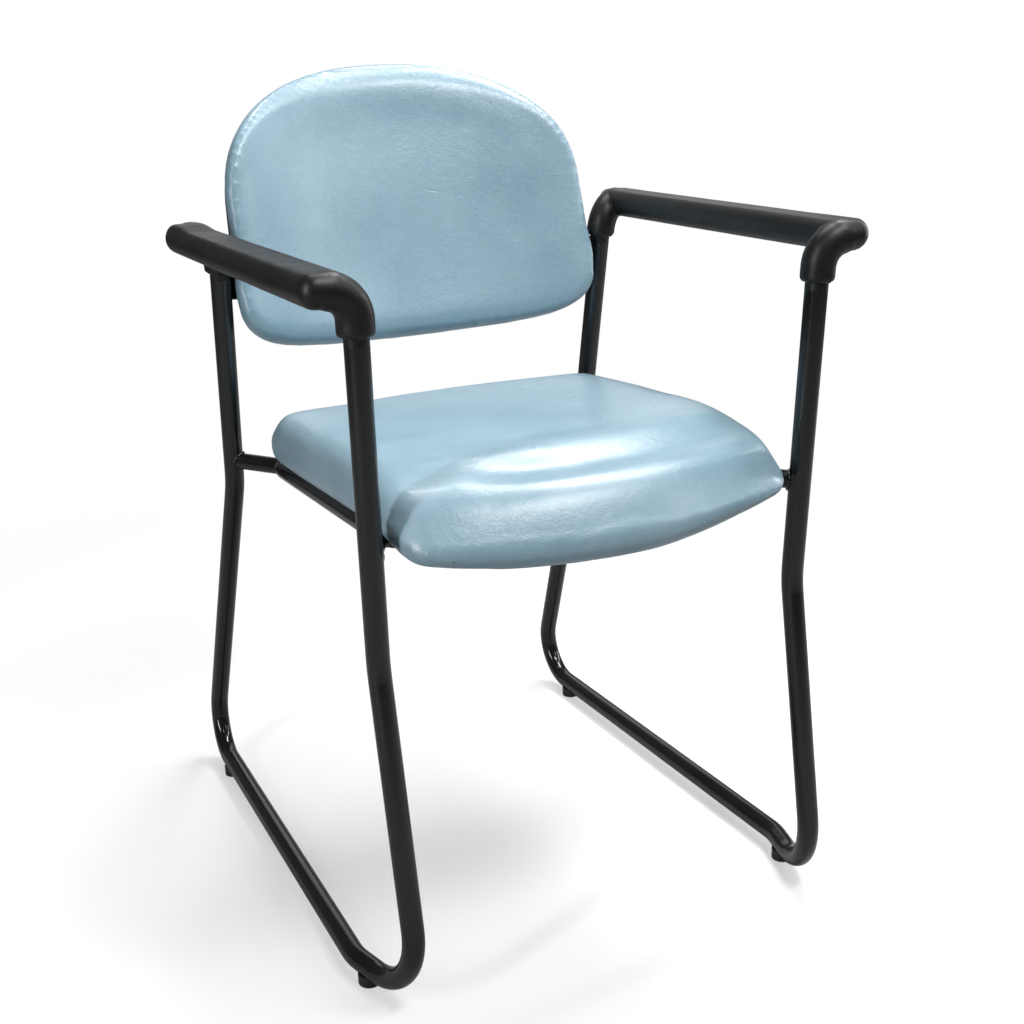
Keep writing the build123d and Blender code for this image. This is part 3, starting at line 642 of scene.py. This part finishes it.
def makeBead(name, node, outer, s):
    start, axis, sideways, other, radius, outline = tubeEnd(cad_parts[node], outer, s["rimBand"])
    clearSelection()
    bpy.ops.mesh.primitive_torus_add(
        major_radius=1, minor_radius=ringShare, major_segments=s["around"], minor_segments=s["section"])
    bead = bpy.context.object
    bead.name = name
    for v in bead.data.vertices:
        turn = atan2(v.co.y, v.co.x)
        ringOut, ringUp = sqrt(v.co.x ** 2 + v.co.y ** 2) - 1, v.co.z
        size = (s["thick"] + s["ripple"] * abs(sin(turn * s["ripples"] / 2))) / ringShare
        reach = reachAt(outline, turn) - s["sunk"] + ringUp * size
        across = radius - s["sunk"] + ringOut * size
        v.co = start + axis * reach + (sideways * cos(turn) + other * sin(turn)) * across
    activate(bead)
    bpy.ops.object.mode_set(mode="EDIT")
    bpy.ops.mesh.select_all(action="SELECT")
    bpy.ops.mesh.normals_make_consistent(inside=False)
    bpy.ops.object.mode_set(mode="OBJECT")
    smoothAll(bead)
    dress(bead, coatMaterial)
    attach(bead, "root")


for end in ("front", "rear"):
    for side in ("left", "right"):
        node = "seat_outrigger_" + end + "_" + side
        makeBead("postBead" + end.capitalize() + side.capitalize(), node, True, beadSettings)
        makeBead("railBead" + end.capitalize() + side.capitalize(), node, False, beadSettings)
print("weld beads made")


stageSettings = {
    "floorSize": 40, "white": 0.95, "bounced": 0.34, "near": 0.5, "far": 1.7, "nearGlow": 0.45,
    "world": 0.13, "worldTint": (0.94, 0.97, 1, 1)}


def addFloor(s):
    # seen straight on it melts into white; the light it throws back is that of a pale grey floor
    clearSelection()
    bpy.ops.mesh.primitive_plane_add(size=s["floorSize"], location=(0, 0, 0))
    floor = bpy.context.object
    floor.name = "floor"
    m = Recipe("paleFloor")
    seenStraight = m.add("ShaderNodeLightPath").outputs["Is Camera Ray"]
    m.colour(m.blend(seenStraight, (s["bounced"],) * 3, (s["white"],) * 3))
    m.fixed(Roughness=0.9, Specular_IOR_Level=0.1)
    glow = m.add("ShaderNodeEmission")
    glow.inputs["Color"].default_value = (1, 1, 1, 1)
    glow.inputs["Strength"].default_value = 1.0
    fade = m.add("ShaderNodeMapRange")
    fade.inputs["From Min"].default_value = s["near"]
    fade.inputs["From Max"].default_value = s["far"]
    fade.inputs["To Min"].default_value = s["nearGlow"]
    m.join(m.along("LENGTH", m.place)["Value"], fade.inputs["Value"])
    mix = m.add("ShaderNodeMixShader")
    m.join(m.maths("MULTIPLY", seenStraight, fade.outputs["Result"]), mix.inputs[0])
    m.join(m.shader.outputs[0], mix.inputs[1])
    m.join(glow.outputs[0], mix.inputs[2])
    m.join(mix.outputs[0], m.tree.nodes["Material Output"].inputs["Surface"])
    floor.data.materials.append(m.material)


def addWorld(s):
    # white behind the chair, a dim cool room in what it reflects
    world = bpy.data.worlds.new("studio")
    bpy.context.scene.world = world
    world.use_nodes = True
    tree = world.node_tree
    tree.nodes.clear()
    path = tree.nodes.new("ShaderNodeLightPath")
    mix = tree.nodes.new("ShaderNodeMixShader")
    output = tree.nodes.new("ShaderNodeOutputWorld")
    tree.links.new(path.outputs["Is Camera Ray"], mix.inputs[0])
    for i, (tint, strength) in enumerate(((s["worldTint"], s["world"]), ((1, 1, 1, 1), 1.0))):
        background = tree.nodes.new("ShaderNodeBackground")
        background.inputs["Color"].default_value = tint
        background.inputs["Strength"].default_value = strength
        tree.links.new(background.outputs[0], mix.inputs[i + 1])
    tree.links.new(mix.outputs[0], output.inputs["Surface"])


lamps = {
    "topLamp": {"place": (0.92, 0.35, 2.4), "aim": (0, -0.1, 0.4), "size": (1.1, 0.5), "power": 40},
    "cornerLamp": {"place": (-0.05, 0.6, 2.4), "aim": (-0.1, -0.25, 0.5), "size": (0.35, 0.35), "power": 9},
    "frontLamp": {"place": (0.5, -1.35, 2.65), "aim": (0, 0, 0.7), "size": (1.3, 0.5), "power": 46},
    "sideLamp": {"place": (1.75, -1.45, 1.7), "aim": (0, 0.1, 0.7), "size": (0.5, 0.6), "power": 6},
    "leftStrip": {"place": (-2.1, -1.0, 1.2), "aim": (0, 0, 0.45), "size": (0.16, 1.7), "power": 28},
    "rightStrip": {"place": (2.3, 0.1, 1.2), "aim": (0, 0, 0.45), "size": (0.14, 1.7), "power": 18},
    "backLamp": {"place": (0.9, 2.3, 1.3), "aim": (0, 0, 0.5), "size": (2.2, 0.9), "power": 5}}


def addLamp(name, s):
    data = bpy.data.lights.new(name, "AREA")
    data.shape = "RECTANGLE"
    data.size, data.size_y = s["size"]
    data.energy = s["power"]
    lamp = bpy.data.objects.new(name, data)
    lamp.location = s["place"]
    lamp.rotation_euler = (Vector(s["aim"]) - Vector(s["place"])).to_track_quat("-Z", "Y").to_euler()
    bpy.context.collection.objects.link(lamp)


addFloor(stageSettings)
addWorld(stageSettings)
for name, settings in lamps.items():
    addLamp(name, settings)
print("stage set")
